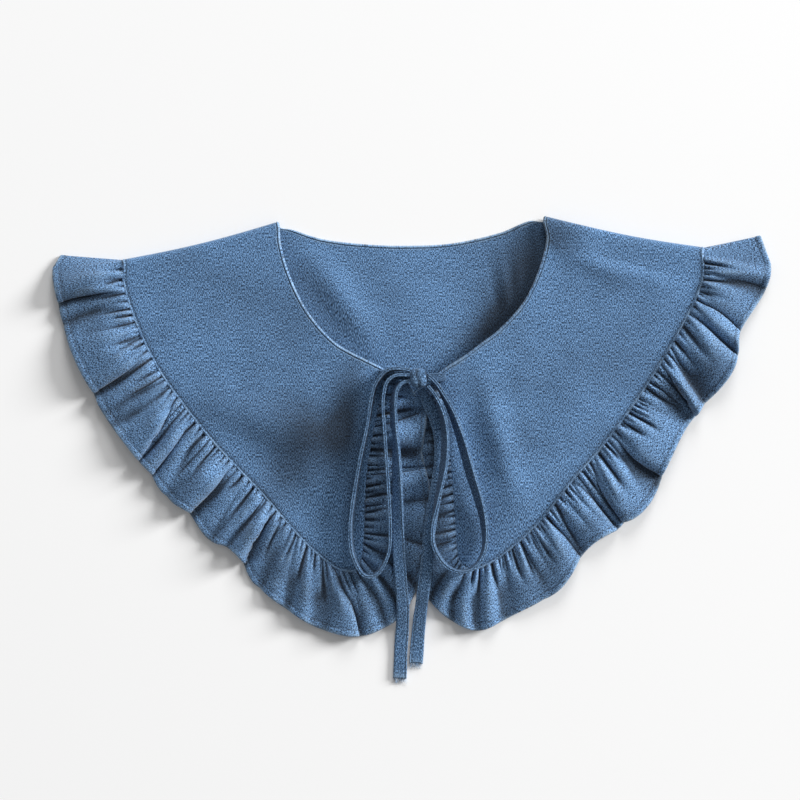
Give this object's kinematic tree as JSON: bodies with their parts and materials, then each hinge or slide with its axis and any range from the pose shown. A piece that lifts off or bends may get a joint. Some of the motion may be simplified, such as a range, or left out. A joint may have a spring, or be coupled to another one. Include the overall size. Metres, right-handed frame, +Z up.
{
  "type": "detachable ruffled collar",
  "caption": "Flat-laid round-necked collar of blue denim with a gathered ruffle along its edge and sewn ties knotted in a bow at the centre front",
  "frame": {"origin": "on the surface that the collar lies on, under the middle of its panel and ruffle", "axes": "+Z up out of the surface, +Y from the hem of the fronts towards the back neck, +X across from the fold of one shoulder to the other"},
  "size_m": [0.4984, 0.3254, 0.0256],
  "materials": {
    "denim_panel": "mid-blue heathered denim, washed, matt",
    "denim_ruffle": "mid-blue heathered denim, gathered, with a narrow stitched hem",
    "denim_tie": "mid-blue heathered denim, sewn flat with edge stitching and raw ends"
  },
  "bodies": {
    "root": {"collar_panel": "denim_panel", "ruffle": "denim_ruffle", "tie_knot": "denim_tie", "tie_left_root": "denim_tie", "tie_right_root": "denim_tie", "tie_left_loop": "denim_tie", "tie_right_loop": "denim_tie", "tie_left_tail": "denim_tie", "tie_right_tail": "denim_tie"}
  },
  "joints": []
}
